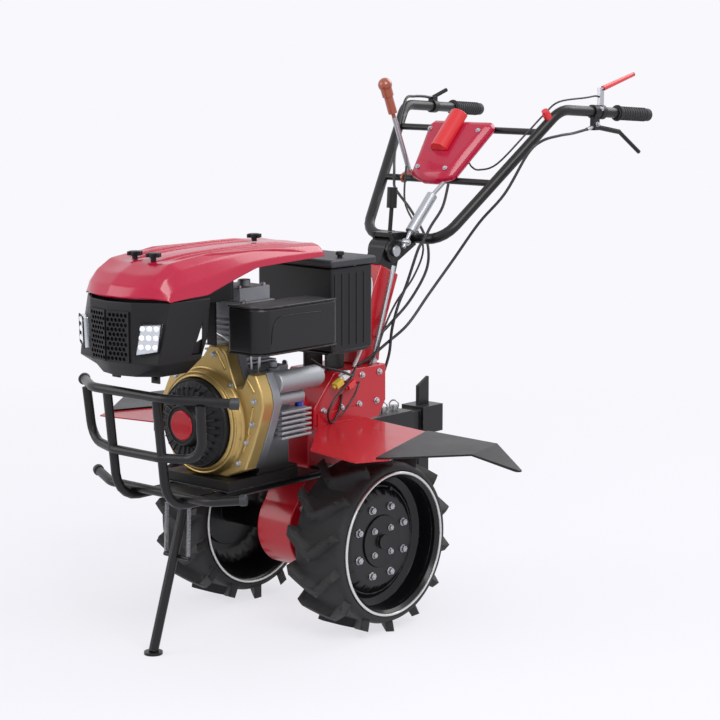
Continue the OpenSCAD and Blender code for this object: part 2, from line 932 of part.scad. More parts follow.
// What is left of a piece where the tube of the left arm passes through it
module around_arm() {
    along = unit(bar_half[0] - bar_half[1]);
    difference() {
        children();
        rod(bar_half[1] - along * 20, bar_half[0], bar_r);
    }
}

module left_levers() {
    at = arm_at(790);
    color(steel)
        around_arm() {
            arm_clamp(790, 16, 5);
            translate(at + [-4, -7, bar_r]) cube([8, 14, 44]);
        }
    color(red) rod(at + [0, 0, bar_r + 40], [256, 920, 1202], 5);
    color(black) {
        around_arm() {
            arm_clamp(768, 22, 4);
            translate(at + [-7, -32, -bar_r - 30]) cube([14, 20, 34]);
        }
        rod(at + [0, -20, -bar_r - 22], at + [6, 72, -50], 6);
        rod(at + [6, 72, -50], [264, 938, 1012], 5);
    }
}

module throttle_lever() {
    at = arm_at(762);
    color(black)
        mirror([1, 0, 0]) {
            around_arm() {
                arm_clamp(762, 18, 4);
                translate(at + [-8, -9, bar_r - 2]) cube([16, 18, 14]);
            }
            rod(at + [0, 0, bar_r + 10], at + [-8, 44, bar_r + 28], 5);
        }
}

module kill_switch() {
    at = upright_at(1096);
    color(black)
        difference() {
            rod(at + [0, -2, 6], at + [0, -14, 20], 10);
            rod(bar_half[2], bar_half[1], bar_r);
        }
    color("#d8202a") rod(at + [0, -14, 20], at + [0, -20, 27], 8);
}

// Depth bar

module depth_bar() {
    w = depth_bar_w / 2;
    color(black)
        side_plate(-depth_bar_t / 2, depth_bar_t / 2, [
            [socket_y - w, depth_bar_low], [socket_y + w - 12, depth_bar_low], [socket_y + w, depth_bar_low + 14],
            [socket_y + w, 486], [socket_y - w, 466]
        ]);
}

gearbox();
clutch_housing();
column();
column_head();
pivot_pin();
hitch();
drawbar();
hitch_pins();
bumper();
bed_plate();
stand_bracket();
crankcase();
fan_shroud();
recoil_starter();
recoil_handle();
cylinder_block();
rocker_cover();
air_cleaner();
muffler_box();
starter_motor();
finned_cover();
oil_cap();
fuel_tank();
hood();
hood_knobs();
grille_housing();
grille();
headlamps();
battery_tray();
battery_box();
battery_lid();
fender_left();
fender_right();
wing_left();
wing_right();
shift_rod();
tyre_left();
tyre_right();
rim_left();
rim_right();
hub_left();
hub_right();
stand_leg();
stand_springs();
handle_bar();
handle_bracket();
clamp_lever();
control_panel();
panel_barrel();
gear_lever();
shift_sleeve();
grips();
left_levers();
throttle_lever();
kill_switch();
depth_bar();
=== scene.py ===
import json
import math

import bmesh
import bpy
from mathutils import Matrix, Vector
from mathutils.bvhtree import BVHTree


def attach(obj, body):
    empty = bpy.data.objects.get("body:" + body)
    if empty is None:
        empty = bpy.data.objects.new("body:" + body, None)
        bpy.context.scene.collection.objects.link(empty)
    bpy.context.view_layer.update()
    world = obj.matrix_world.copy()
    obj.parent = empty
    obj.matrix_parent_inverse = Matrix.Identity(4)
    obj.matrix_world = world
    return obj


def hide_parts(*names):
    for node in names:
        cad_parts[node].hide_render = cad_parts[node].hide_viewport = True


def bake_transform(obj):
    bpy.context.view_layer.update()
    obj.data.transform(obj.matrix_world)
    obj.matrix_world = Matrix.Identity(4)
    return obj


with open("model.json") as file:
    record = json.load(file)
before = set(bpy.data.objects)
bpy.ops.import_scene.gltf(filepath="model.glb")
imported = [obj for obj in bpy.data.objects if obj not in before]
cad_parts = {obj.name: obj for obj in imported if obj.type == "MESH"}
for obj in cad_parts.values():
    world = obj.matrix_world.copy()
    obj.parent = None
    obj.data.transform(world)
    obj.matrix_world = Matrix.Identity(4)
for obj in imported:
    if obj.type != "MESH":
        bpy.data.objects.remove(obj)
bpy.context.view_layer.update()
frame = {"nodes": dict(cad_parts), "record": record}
NODES = frame["nodes"]
BODY_OF = {n: b for b, names in frame["record"]["behaviour"]["bodies"].items() for n in names}

# Places of the part that the added pieces follow, in millimetres
AXLE_Z = 200
CRANK_Z = 482
SHROUD_FACE = -298
MUFFLER_TOP = 744.6
MUFFLER_FOOT = 646
MUFFLER_SIDE = 200.2
ARM_START = (240, 643, 1124)
ARM_WAY = (24, 325, -22)

# How finely curves and rounded edges are cut
CURVE_STEPS = 6
SHARP_ANGLE = math.radians(36)
BEVEL_ANGLE = math.radians(40)
WELD = 2e-5
EDGE_SOFTNESS = 0.0012

# Where the cables that cross the handlebar's pivot would pass from following the chassis to following the
# bar; these places are not read, and these cables follow no body
CROSSING = ((0, 0.27, 0.70), (0, 0.43, 0.85))

# Camera
lens = bpy.data.cameras.new("camera")
lens.sensor_width = 36.0
lens.lens = 104.965  # fitted to the photograph with the place and turn below
camera = bpy.data.objects.new("camera", lens)
camera.location = (3.1926, -3.3969, 1.3323)
camera.rotation_euler = (math.radians(80.806), 0.0, math.radians(41.585))
bpy.context.collection.objects.link(camera)
bpy.context.scene.camera = camera
bpy.context.scene.view_settings.view_transform = "Standard"


# Materials


def srgb(r, g, b):
    """A linear colour from the 0 to 255 numbers of a screen colour."""
    linear = [c / 3294.6 if c < 11 else ((c / 255 + 0.055) / 1.055) ** 2.4 for c in (r, g, b)]
    return (*linear, 1.0)


def finish_of(name, color, rough=0.5, metal=0.0, coat=0.0, var=0.12, scale=9.0, grain=420.0, bump=0.04,
              wear=None, wear_amount=0.5, dust=0.0, spec=0.5):
    """A material whose colour, roughness and surface vary, with worn edges and dust on upward faces."""
    m = bpy.data.materials.new(name)
    m.use_nodes = True
    t = m.node_tree
    bsdf = t.nodes["Principled BSDF"]
    bsdf.inputs["Metallic"].default_value = metal
    bsdf.inputs["Specular IOR Level"].default_value = spec
    bsdf.inputs["Coat Weight"].default_value = coat
    bsdf.inputs["Coat Roughness"].default_value = 0.08

    def node(kind, **values):
        n = t.nodes.new(kind)
        for k, v in values.items():
            setattr(n, k, v)
        return n

    def noise(size, detail):
        n = node("ShaderNodeTexNoise")
        n.inputs["Scale"].default_value = size
        n.inputs["Detail"].default_value = detail
        t.links.new(place.outputs["Object"], n.inputs["Vector"])
        return n

    place = node("ShaderNodeTexCoord")
    broad = noise(scale, 4.0)
    fine = noise(grain, 3.0)
    dark = tuple(c * (1 - var) for c in color[:3]) + (1.0,)
    light = tuple(min(1.0, c * (1 + var)) for c in color[:3]) + (1.0,)
    tint = node("ShaderNodeMix", data_type="RGBA")
    tint.inputs["A"].default_value = dark
    tint.inputs["B"].default_value = light
    t.links.new(broad.outputs["Fac"], tint.inputs["Factor"])
    shade = tint.outputs["Result"]
    round_off = node("ShaderNodeBevel", samples=4)
    round_off.inputs["Radius"].default_value = EDGE_SOFTNESS
    if wear is not None:
        edge = node("ShaderNodeBevel", samples=4)
        edge.inputs["Radius"].default_value = 0.0035
        geo = node("ShaderNodeNewGeometry")
        dot = node("ShaderNodeVectorMath", operation="DOT_PRODUCT")
        t.links.new(edge.outputs["Normal"], dot.inputs[0])
        t.links.new(geo.outputs["Normal"], dot.inputs[1])
        reach = node("ShaderNodeMapRange")
        reach.inputs["From Min"].default_value = 0.985
        reach.inputs["From Max"].default_value = 0.86
        t.links.new(dot.outputs["Value"], reach.inputs["Value"])
        patch = node("ShaderNodeMapRange")
        patch.inputs["From Min"].default_value = 0.48
        patch.inputs["From Max"].default_value = 0.66
        patch.inputs["To Max"].default_value = wear_amount
        t.links.new(noise(70.0, 5.0).outputs["Fac"], patch.inputs["Value"])
        both = node("ShaderNodeMath", operation="MULTIPLY")
        t.links.new(reach.outputs["Result"], both.inputs[0])
        t.links.new(patch.outputs["Result"], both.inputs[1])
        worn = node("ShaderNodeMix", data_type="RGBA")
        worn.inputs["B"].default_value = wear
        t.links.new(both.outputs["Value"], worn.inputs["Factor"])
        t.links.new(shade, worn.inputs["A"])
        shade = worn.outputs["Result"]
    if dust > 0:
        up = node("ShaderNodeNewGeometry")
        split = node("ShaderNodeSeparateXYZ")
        t.links.new(up.outputs["Normal"], split.inputs["Vector"])
        lie = node("ShaderNodeMapRange")
        lie.inputs["From Min"].default_value = 0.3
        lie.inputs["To Max"].default_value = dust
        t.links.new(split.outputs["Z"], lie.inputs["Value"])
        amount = node("ShaderNodeMath", operation="MULTIPLY")
        t.links.new(lie.outputs["Result"], amount.inputs[0])
        t.links.new(noise(26.0, 6.0).outputs["Fac"], amount.inputs[1])
        dusty = node("ShaderNodeMix", data_type="RGBA")
        dusty.inputs["B"].default_value = srgb(150, 146, 138)
        t.links.new(amount.outputs["Value"], dusty.inputs["Factor"])
        t.links.new(shade, dusty.inputs["A"])
        shade = dusty.outputs["Result"]
    t.links.new(shade, bsdf.inputs["Base Color"])
    gloss = node("ShaderNodeMapRange")
    gloss.inputs["To Min"].default_value = max(0.03, rough - 0.09)
    gloss.inputs["To Max"].default_value = min(1.0, rough + 0.11)
    t.links.new(broad.outputs["Fac"], gloss.inputs["Value"])
    t.links.new(gloss.outputs["Result"], bsdf.inputs["Roughness"])
    relief = node("ShaderNodeBump")
    relief.inputs["Strength"].default_value = bump
    relief.inputs["Distance"].default_value = 0.001
    t.links.new(fine.outputs["Fac"], relief.inputs["Height"])
    t.links.new(round_off.outputs["Normal"], relief.inputs["Normal"])
    t.links.new(relief.outputs["Normal"], bsdf.inputs["Normal"])
    return m


red = finish_of("red_paint", srgb(180, 8, 28), 0.34, coat=0.28, var=0.1, bump=0.05, wear=srgb(112, 16, 20),
                dust=0.04, spec=0.4)
crimson = finish_of("crimson_moulding", srgb(172, 0, 50), 0.26, coat=0.28, var=0.07, bump=0.015, dust=0.02,
                    spec=0.4)
black = finish_of("black_paint", srgb(16, 16, 18), 0.38, coat=0.12, spec=0.3, var=0.2, bump=0.06,
                  wear=srgb(96, 96, 98), dust=0.05)
plastic = finish_of("black_moulding", srgb(18, 18, 20), 0.4, var=0.15, grain=900.0, bump=0.12, dust=0.03,
                    spec=0.3)
gold = finish_of("gold_paint", srgb(186, 158, 98), 0.36, metal=0.75, coat=0.2, var=0.1, bump=0.08,
                 wear=srgb(120, 104, 66))
alloy = finish_of("cast_alloy", srgb(160, 162, 166), 0.5, metal=0.7, var=0.14, grain=260.0, bump=0.35,
                  wear=srgb(205, 206, 208))
steel = finish_of("zinc_plate", srgb(178, 180, 184), 0.32, metal=0.85, var=0.12, bump=0.06,
                  wear=srgb(214, 214, 216))
grey = finish_of("grey_moulding", srgb(40, 42, 46), 0.5, var=0.12, grain=800.0, bump=0.1, dust=0.05)
blue = finish_of("blue_moulding", srgb(34, 62, 190), 0.35, coat=0.4, bump=0.03)
tread = finish_of("tyre_rubber", srgb(28, 28, 29), 0.66, var=0.25, scale=14.0, grain=300.0, bump=0.3,
                  wear=srgb(88, 86, 82), wear_amount=0.6, dust=0.1)
grip = finish_of("grip_rubber", srgb(34, 34, 36), 0.66, var=0.2, grain=700.0, bump=0.2)
rim_paint = finish_of("rim_paint", srgb(16, 16, 18), 0.3, coat=0.15, spec=0.3, var=0.15, bump=0.05,
                      wear=srgb(140, 140, 140))
rim_bare = finish_of("rim_edge", srgb(214, 214, 212), 0.3, metal=0.6, var=0.08, bump=0.05)
brown = finish_of("knob_brown", srgb(150, 68, 40), 0.28, coat=0.6, var=0.18, bump=0.02)
white = finish_of("white_sleeve", srgb(222, 224, 226), 0.5, var=0.05, bump=0.05)
red_plastic = finish_of("red_lever", srgb(206, 28, 34), 0.35, coat=0.4, var=0.08, bump=0.03)
yellow = finish_of("yellow_plug", srgb(208, 178, 60), 0.45, var=0.08, bump=0.04)
sheath = finish_of("cable_sheath", srgb(28, 28, 30), 0.42, var=0.12, bump=0.04)
lamp_back = finish_of("lamp_reflector", srgb(200, 204, 210), 0.2, metal=0.6, coat=0.9, var=0.1, bump=0.02)
lamp_eye = finish_of("lamp_eye", srgb(246, 248, 250), 0.12, coat=1.0, var=0.03, bump=0.01)
case_alloy = finish_of("case_alloy", srgb(140, 142, 146), 0.5, metal=0.6, var=0.2, grain=260.0, bump=0.35,
                       wear=srgb(190, 191, 193))
coil = finish_of("spring_coil", srgb(176, 178, 182), 0.3, metal=0.85, var=0.1, bump=0.05)


def first_of(mat, kind):
    """The first node of a kind in a material."""
    return [n for n in mat.node_tree.nodes if n.bl_idname == kind][0]


def darkened_towards_foot(mat, low, high, color):
    """Darkens a material towards its foot, from the height high down to low, in metres."""
    t = mat.node_tree
    base = t.nodes["Principled BSDF"].inputs["Base Color"]
    clean = base.links[0].from_socket
    place = first_of(mat, "ShaderNodeTexCoord")
    split = t.nodes.new("ShaderNodeSeparateXYZ")
    near = t.nodes.new("ShaderNodeMapRange")
    near.inputs["From Min"].default_value = high
    near.inputs["From Max"].default_value = low
    mix = t.nodes.new("ShaderNodeMix")
    mix.data_type = "RGBA"
    mix.inputs["B"].default_value = color
    t.links.new(place.outputs["Object"], split.inputs["Vector"])
    t.links.new(split.outputs["Z"], near.inputs["Value"])
    t.links.new(near.outputs["Result"], mix.inputs["Factor"])
    t.links.new(clean, mix.inputs["A"])
    t.links.new(mix.outputs["Result"], base)


def wound(mat, scale):
    """Gives a material the relief of a wound spring; scale is that of the wave texture."""
    t = mat.node_tree
    wave = t.nodes.new("ShaderNodeTexWave")
    wave.bands_direction = "Z"
    wave.inputs["Scale"].default_value = scale
    relief = first_of(mat, "ShaderNodeBump")
    relief.inputs["Strength"].default_value = 1.0
    relief.inputs["Distance"].default_value = 0.003
    t.links.new(first_of(mat, "ShaderNodeTexCoord").outputs["Object"], wave.inputs["Vector"])
    t.links.new(wave.outputs["Fac"], relief.inputs["Height"])


# The crankcase's alloy grows darker towards its foot, from 0.47 m down to 0.38 m
darkened_towards_foot(case_alloy, 0.38, 0.47, srgb(34, 32, 30))
wound(coil, 100.0)

# Material and rounded edge, in metres, of every CAD node that is dressed as it is
LOOK = {
    "gearbox": (red, 0.006), "clutch_housing": (red, 0.003), "column": (red, 0.004),
    "column_head": (black, 0.002), "pivot_pin": (steel, 0.001), "hitch": (black, 0.002),
    "drawbar": (black, 0.002), "hitch_pins": (steel, 0.0008), "bumper": (black, 0.0),
    "bed_plate": (black, 0.001), "stand_bracket": (black, 0.001), "crankcase": (case_alloy, 0.003),
    "fan_shroud": (gold, 0.006), "recoil_starter": (plastic, 0.003), "recoil_handle": (plastic, 0.004),
    "cylinder_block": (alloy, 0.0008), "rocker_cover": (alloy, 0.004), "air_cleaner": (plastic, 0.004),
    "muffler_box": (black, 0.007), "starter_motor": (alloy, 0.003), "finned_cover": (alloy, 0.0012),
    "oil_cap": (blue, 0.002), "fuel_tank": (plastic, 0.003), "hood_knobs": (plastic, 0.0015),
    "grille_housing": (plastic, 0.002), "grille": (plastic, 0.0), "headlamps": (lamp_back, 0.001),
    "battery_tray": (black, 0.001), "battery_box": (plastic, 0.005), "battery_lid": (grey, 0.005),
    "fender_left": (red, 0.0008), "fender_right": (red, 0.0008), "wing_left": (plastic, 0.001),
    "wing_right": (plastic, 0.001), "shift_rod": (steel, 0.001), "tyre_left": (tread, 0.0),
    "tyre_right": (tread, 0.0), "rim_left": (rim_paint, 0.001), "rim_right": (rim_paint, 0.001),
    "hub_left": (black, 0.001), "hub_right": (black, 0.001), "stand_leg": (black, 0.001),
    "handle_bar": (black, 0.0), "handle_bracket": (black, 0.001), "clamp_lever": (plastic, 0.003),
    "control_panel": (crimson, 0.006), "panel_barrel": (red_plastic, 0.003), "shift_sleeve": (steel, 0.002),
    "grips": (grip, 0.004), "throttle_lever": (plastic, 0.0015), "kill_switch": (red_plastic, 0.002),
    "depth_bar": (black, 0.001), "left_levers": (plastic, 0.001), "gear_lever": (brown, 0.002),
}


def smooth(mesh):
    for p in mesh.polygons:
        p.use_smooth = True
    mesh.set_sharp_from_angle(angle=SHARP_ANGLE)


def rounded(obj, width):
    """Rounds an object's edges by a width in metres, and evens its shading."""
    if width > 0:
        mod = obj.modifiers.new("rounded", "BEVEL")
        mod.width = width
        mod.segments = 2
        mod.limit_method = "ANGLE"
        mod.angle_limit = BEVEL_ANGLE
    shading = obj.modifiers.new("even", "WEIGHTED_NORMAL")
    shading.keep_sharp = True


def dressed(node):
    """A copy of a CAD node with joined faces, rounded edges and its own material."""
    mat, width = LOOK[node]
    bm = bmesh.new()
    bm.from_mesh(NODES[node].data)
    bmesh.ops.remove_doubles(bm, verts=bm.verts, dist=WELD)
    if width > 0:
        bmesh.ops.dissolve_limit(bm, angle_limit=math.radians(1.0), verts=bm.verts, edges=bm.edges)
    mesh = bpy.data.meshes.new(node + "_skin")
    bm.to_mesh(mesh)
    bm.free()
    mesh.materials.clear()
    mesh.materials.append(mat)
    smooth(mesh)
    obj = bpy.data.objects.new(node + "_skin", mesh)
    bpy.context.collection.objects.link(obj)
    rounded(obj, width)
    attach(obj, BODY_OF[node])
    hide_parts(node)


def turned(axis):
    """The turn that takes the Z axis to the given one."""
    return Vector((0, 0, 1)).rotation_difference(Vector(axis).normalized()).to_matrix().to_4x4()


def mm(p):
    """A place in millimetres as a vector in metres."""
    return Vector(p) / 1000


def curve_through(points):
    """Points in metres on a smooth curve through the given places in millimetres."""
    p = [mm(q) for q in points]
    out = []
    for i in range(len(p) - 1):
        a, b, c, d = p[max(i - 1, 0)], p[i], p[i + 1], p[min(i + 2, len(p) - 1)]
        for k in range(CURVE_STEPS):
            t = k / CURVE_STEPS
            out.append(0.5 * (2 * b + (c - a) * t + (2 * a - 5 * b + 4 * c - d) * t ** 2
                              + (3 * b - 3 * c + d - a) * t ** 3))
    out.append(p[-1])
    return out


class Shape:
    """A mesh that grows from turned, boxed and bent forms. Places and sizes are in millimetres."""

    def __init__(self):
        self.bm = bmesh.new()

    def rod(self, a, b, r, r2=None, sides=24):
        a, b = mm(a), mm(b)
        place = Matrix.Translation((a + b) / 2) @ turned(b - a)
        bmesh.ops.create_cone(self.bm, cap_ends=True, segments=sides, radius1=r / 1000,
                              radius2=(r if r2 is None else r2) / 1000, depth=(b - a).length, matrix=place)

    def box(self, lo, hi, spin=None):
        lo, hi = mm(lo), mm(hi)
        place = Matrix.Translation((lo + hi) / 2)
        if spin:
            place = place @ Matrix.Rotation(math.radians(spin[0]), 4, spin[1])
        bmesh.ops.create_cube(self.bm, size=1.0, matrix=place @ Matrix.Diagonal((*(hi - lo), 1.0)))

    def ball(self, c, r, flat=1.0, axis=(0, 0, 1)):
        place = Matrix.Translation(mm(c)) @ turned(axis) @ Matrix.Diagonal((1, 1, flat, 1))
        bmesh.ops.create_uvsphere(self.bm, u_segments=16, v_segments=10, radius=r / 1000, matrix=place)

    def tube(self, points, r, sides=10, closed=False):
        """A bent tube through points in metres; r is in millimetres."""
        n = len(points)
        rings = []
        side = None
        for i, p in enumerate(points):
            if closed:
                go = points[(i + 1) % n] - points[i - 1]
            else:
                go = points[min(i + 1, n - 1)] - points[max(i - 1, 0)]
            go.normalize()
            if side is None:
                side = go.orthogonal().normalized()
            side = (side - go * side.dot(go)).normalized()
            up = go.cross(side)
            rings.append([
                self.bm.verts.new(p + (side * math.cos(a) + up * math.sin(a)) * r / 1000)
                for a in (2 * math.pi * k / sides for k in range(sides))
            ])
        for i in range(n if closed else n - 1):
            one, two = rings[i], rings[(i + 1) % n]
            for k in range(sides):
                m = (k + 1) % sides
                self.bm.faces.new((one[k], one[m], two[m], two[k]))
        if not closed:
            self.bm.faces.new(rings[0][::-1])
            self.bm.faces.new(rings[-1])

    def hoop(self, c, axis, big, r, sides=8, parts=64):
        """A ring of radius big round an axis, from wire of radius r."""
        turn = turned(axis)
        self.tube([
            mm(c) + turn @ Vector((math.cos(a), math.sin(a), 0)) * big / 1000
            for a in (2 * math.pi * k / parts for k in range(parts))
        ], r, sides, closed=True)

    def bolt(self, c, axis, r, h):
        """A hexagon bolt head on its washer; r is half its width across corners, h its height."""
        axis = Vector(axis).normalized()
        c = Vector(c)
        self.rod(c, c + axis * 1.2, r * 1.25, sides=20)
        self.rod(c + axis * 1.2, c + axis * (h + 1.2), r, sides=6)
        self.rod(c + axis * (h + 1.2), c + axis * (h + 2.4), r * 0.55, r * 0.45, sides=12)

    def done(self, name, mat, body, width=0.0, crossing=None):
        """Makes the piece, which rides on a body, or, when crossing is given, rides on no body with its
        place baked in.
        """
        bmesh.ops.recalc_face_normals(self.bm, faces=self.bm.faces)
        mesh = bpy.data.meshes.new(name)
        self.bm.to_mesh(mesh)
        self.bm.free()
        mesh.materials.append(mat)
        smooth(mesh)
        obj = bpy.data.objects.new(name, mesh)
        bpy.context.collection.objects.link(obj)
        rounded(obj, width)
        if crossing:
            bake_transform(obj)
        else:
            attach(obj, body)


# Cables that cross the handlebar's pivot: their routes and radii
ROUTES = {
    "clutch_cable": [
        (251, 764, 1080), (252, 735, 1075), (257, 670, 1068), (260, 613, 1065), (252, 557, 1055),
        (236, 523, 1026), (198, 487, 934), (150, 451, 864), (108, 408, 778), (80, 353, 700),
        (64, 296, 633), (58, 228, 596), (58, 170, 570), (54, 130, 556),
    ],
    "throttle_cable": [
        (-249, 756, 1136), (-248, 730, 1141), (-243, 680, 1143), (-234, 638, 1138), (-212, 590, 1088),
        (-188, 548, 1040), (-160, 508, 1000), (-132, 475, 975), (-116, 456, 952), (-104, 448, 930),
        (-62, 452, 885), (-12, 440, 836), (14, 428, 804), (34, 405, 765), (46, 369, 729),
        (54, 310, 682), (56, 251, 645), (50, 222, 622), (37, 212, 609),
    ],
    "brake_cable": [
        (60, 447, 950), (78, 404, 900), (87, 352, 861), (90, 320, 828), (88, 303, 808), (72, 281, 727),
        (66, 260, 683), (64, 240, 628), (62, 232, 570), (50, 219, 512),
    ],
    "stop_wire": [
        (-90, 470, 985), (-60, 430, 905), (-10, 410, 850), (40, 380, 800), (52, 330, 740),
        (46, 280, 690), (46, 240, 640), (60, 190, 580), (72, 150, 556),
    ],
}
CABLE_R = {"clutch_cable": 3.4, "throttle_cable": 3.4, "brake_cable": 3.4, "stop_wire": 2.4}
for name, route in ROUTES.items():
    cable = Shape()
    cable.tube(curve_through(route), CABLE_R[name])
    cable.done(name, sheath, None, crossing=CROSSING)

# Wires that stay on one body, and their plugs
arm_wire = Shape()
arm_wire.tube(curve_through([(251, 784, 1150), (251, 768, 1153), (250, 730, 1150), (236, 640, 1142),
                             (222, 600, 1112), (205, 560, 1072), (160, 505, 1000), (120, 488, 985),
                             (88, 500, 990), (56, 528, 1000)]), 2.2)
arm_wire.done("arm_wire", sheath, "handlebar")

sleeve = Shape()
sleeve.tube(curve_through([(100, 24, 806), (106, 60, 795), (104, 118, 760), (94, 122, 690), (84, 121, 640),
                           (74, 122, 600), (60, 112, 556)]), 4.0)
sleeve.done("wire_sleeve", white, "chassis")

loom = Shape()
loom.tube(curve_through([(78, 100, 560), (90, 60, 530), (88, 20, 500), (84, 0, 470), (78, 10, 446),
                         (74, 30, 444), (72, 50, 470), (71, 60, 500)]), 2.5)
loom.tube(curve_through([(70, 120, 520), (84, 90, 500), (84, 60, 470), (80, 40, 452)]), 2.2)
loom.tube(curve_through([(72, 100, 540), (90, 70, 545), (92, 30, 560), (80, -10, 572),
                         (60, -30, 590)]), 3.0)
loom.done("wire_loom", sheath, "chassis")
for tag, mat, at in (("white_plug", white, (84, 54, 545)), ("yellow_plug", yellow, (86, 30, 530)),
                     ("red_plug", red_plastic, (82, 74, 522))):
    plug = Shape()
    plug.box([at[0] - 8, at[1] - 12, at[2] - 7], [at[0] + 8, at[1] + 12, at[2] + 7], (25, "X"))
    plug.rod([at[0], at[1] - 16, at[2] - 8], [at[0], at[1] + 16, at[2] + 8], 4)
    plug.done(tag, mat, "chassis", 0.0015)

# Dressed CAD nodes
for node in LOOK:
    dressed(node)

# Hood: a smooth skin that keeps its folds
bm = bmesh.new()
bm.from_mesh(NODES["hood"].data)
bmesh.ops.remove_doubles(bm, verts=bm.verts, dist=WELD)
bmesh.ops.join_triangles(bm, faces=bm.faces, angle_face_threshold=math.radians(60),
                         angle_shape_threshold=math.radians(60))
crease = bm.edges.layers.float.new("crease_edge")
for e in bm.edges:
    if e.is_manifold and e.calc_face_angle() > math.radians(13):
        e[crease] = 0.78
hood_mesh = bpy.data.meshes.new("hood_skin")
bm.to_mesh(hood_mesh)
bm.free()
hood_mesh.materials.clear()
hood_mesh.materials.append(crimson)
for p in hood_mesh.polygons:
    p.use_smooth = True
hood = bpy.data.objects.new("hood_skin", hood_mesh)
bpy.context.collection.objects.link(hood)
round_skin = hood.modifiers.new("round", "SUBSURF")
round_skin.levels = 3
round_skin.render_levels = 3
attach(hood, "chassis")
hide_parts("hood")

# Hood: raised ridges that follow its top
top = BVHTree.FromObject(hood, bpy.context.evaluated_depsgraph_get())
ridges = Shape()
for x0, x1, y0, y1 in ((34, 40, -492, -76), (62, 74, -470, -84), (88, 104, -400, -96)):
    for side in (1, -1):
        line = []
        for k in range(33):
            t = k / 32
            at = Vector((side * (x0 + (x1 - x0) * t), y0 + (y1 - y0) * t, 1000)) / 1000
            hit = top.ray_cast(at, Vector((0, 0, -1)))[0]
            if hit is not None:
                sink = 1.4 + 4.0 * max(0.0, 1 - min(k, 32 - k) / 4)
                line.append(hit - Vector((0, 0, sink / 1000)))
        if len(line) > 20:
            ridges.tube(line, 4.4, 12)
ridges.done("hood_ridges", crimson, "chassis")

# Wheels: bright rim edges, steps in the dish, bolts and a valve
for body, side in (("wheel_left", 1), ("wheel_right", -1)):
    edge = Shape()
    edge.hoop((side * 279.5, 0, AXLE_Z), (1, 0, 0), 157.5, 3.2, sides=10, parts=96)
    edge.hoop((side * 141.0, 0, AXLE_Z), (1, 0, 0), 157.5, 2.8, sides=8, parts=72)
    edge.done(body + "_rim_edge", rim_bare, body)
    steps = Shape()
    steps.hoop((side * 262, 0, AXLE_Z), (1, 0, 0), 149, 2.4, parts=80)
    steps.hoop((side * 222, 0, AXLE_Z), (1, 0, 0), 121, 2.2, parts=72)
    steps.done(body + "_dish_steps", rim_paint, body)
    nuts = Shape()
    for k in range(8):
        a = math.radians(22.5 + 45 * k)
        nuts.bolt((side * 240, 80 * math.cos(a), AXLE_Z + 80 * math.sin(a)), (side, 0, 0), 7.5, 7)
    for k in range(4):
        a = math.radians(45 + 90 * k)
        nuts.bolt((side * 244, 38 * math.cos(a), AXLE_Z + 38 * math.sin(a)), (side, 0, 0), 6, 5)
    nuts.done(body + "_bolts", steel, body, 0.0006)
    valve = Shape()
    valve.rod((side * 236, 0, 318), (side * 262, 0, 322), 3.4)
    valve.rod((side * 262, 0, 322), (side * 270, 0, 323), 4.6)
    valve.done(body + "_valve", plastic, body, 0.0008)

# Headlamps: eyes inside a bezel
for tag, side in (("left", 1), ("right", -1)):
    turn = math.radians(32)

    def lamp(u, v, w):
        """A place on the lamp's own axes: across, up and out of its face."""
        x = 92 + u * math.cos(turn) + w * math.sin(turn)
        y = -546 + u * math.sin(turn) - w * math.cos(turn)
        return (side * x, y, 700 + v)

    ahead = Vector(lamp(0, 0, 1)) - Vector(lamp(0, 0, 0))
    eyes = Shape()
    for i in range(3):
        for j in range(3):
            eyes.ball(lamp(-13 + 15 * i + 1.6 * j, -19 + 19 * j, 12.4), 6.2, 0.4, ahead)
    eyes.done("lamp_eyes_" + tag, lamp_eye, "chassis")
    bezel = Shape()
    corners = [lamp(u, v, 12.6) for u, v in ((-25, -36), (22.5, -28.5), (30.5, 28.5), (-13, 26.5))]
    bezel.tube([mm(c) for c in corners], 1.8, 8, closed=True)
    bezel.done("lamp_bezel_" + tag, plastic, "chassis")

# Engine, clutch housing and gearbox: bolts
SHROUD_INSET = 0.93
bolts = Shape()
for x, z in ((150, 492), (131, 448), (105, 396), (157, 545), (-128, 470), (-90, 384), (-96, 575), (28, 640),
             (84, 575)):
    at = (x * SHROUD_INSET, SHROUD_FACE - 0.2, CRANK_Z + (z - CRANK_Z) * SHROUD_INSET)
    bolts.bolt(at, (0, -1, 0), 5.5, 4.5)
for x, z in ((60, 380), (-60, 380), (100, 600), (-100, 585)):
    bolts.bolt((x * 0.92, -150.2, z), (0, 1, 0), 5.5, 4.5)
for a in range(8):
    t = math.radians(45 * a + 12)
    bolts.bolt((84 * math.cos(t), -150.4, CRANK_Z + 84 * math.sin(t)), (0, -1, 0), 5, 4)
for y, z in ((0, 470), (60, 470), (120, 470), (180, 470), (70, 536), (130, 536), (190, 536)):
    for side in (1, -1):
        bolts.bolt((side * 68.2, y, z), (side, 0, 0), 6, 5)
for k in range(8):
    a = math.radians(45 * k)
    for side in (1, -1):
        bolts.bolt((side * 50.1, 74 * math.cos(a), AXLE_Z + 74 * math.sin(a)), (side, 0, 0), 5.5, 4.5)
bolts.done("engine_bolts", steel, "chassis", 0.0004)

# Shroud's ribs and the recoil starter's grid and cap
ribs = Shape()
for x0, z0, x1, z1 in ((128, 470, 142, 528), (112, 430, 132, 470), (60, 600, 34, 636), (126, 585, 146, 560)):
    ribs.rod((x0, SHROUD_FACE, z0), (x1, SHROUD_FACE, z1), 3.4, sides=12)
ribs.hoop((0, -318, CRANK_Z), (0, 1, 0), 109, 3.0, parts=80)
ribs.done("shroud_ribs", gold, "chassis")

